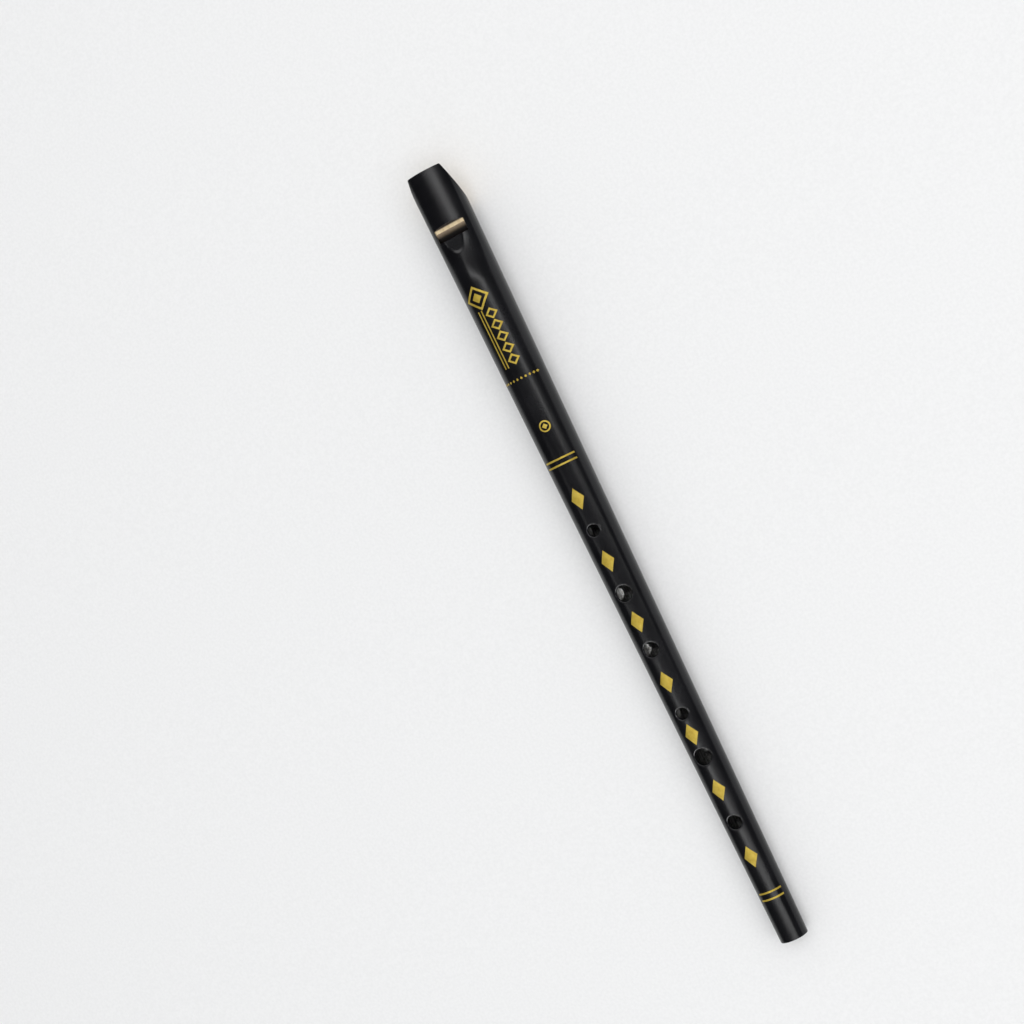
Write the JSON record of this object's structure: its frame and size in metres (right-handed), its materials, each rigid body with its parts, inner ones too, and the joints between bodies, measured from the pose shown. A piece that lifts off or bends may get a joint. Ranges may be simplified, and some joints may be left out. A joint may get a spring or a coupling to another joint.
{
  "type": "tin whistle",
  "caption": "Conical tin whistle rolled from black enamelled tinplate with a lap seam, a wooden plug in the pressed mouth end, turned-in finger holes and gold printed marks.",
  "frame": {"origin": "middle of the whole whistle's box along and across, on the plane under its back", "axes": "+X along the bore's axis from the mouth end to the foot, +Z to the playing side with the window and finger holes, +Y across"},
  "size_m": [0.306, 0.0176, 0.0176],
  "materials": {
    "black_enamel": "satin black enamel on tinplate",
    "bare_tin": "bare tinplate inside the tube and on its cut edges",
    "plug_wood": "bare sawn and filed wood",
    "gold_print": "satin gold print"
  },
  "bodies": {
    "root": {"tin_tube": "black_enamel", "fipple_plug": "plug_wood", "print_diamonds": "gold_print", "print_upper_bands": "gold_print", "print_lower_bands": "gold_print", "print_key_ring": "gold_print", "print_dot_row": "gold_print", "print_ornament": "gold_print"}
  },
  "joints": []
}
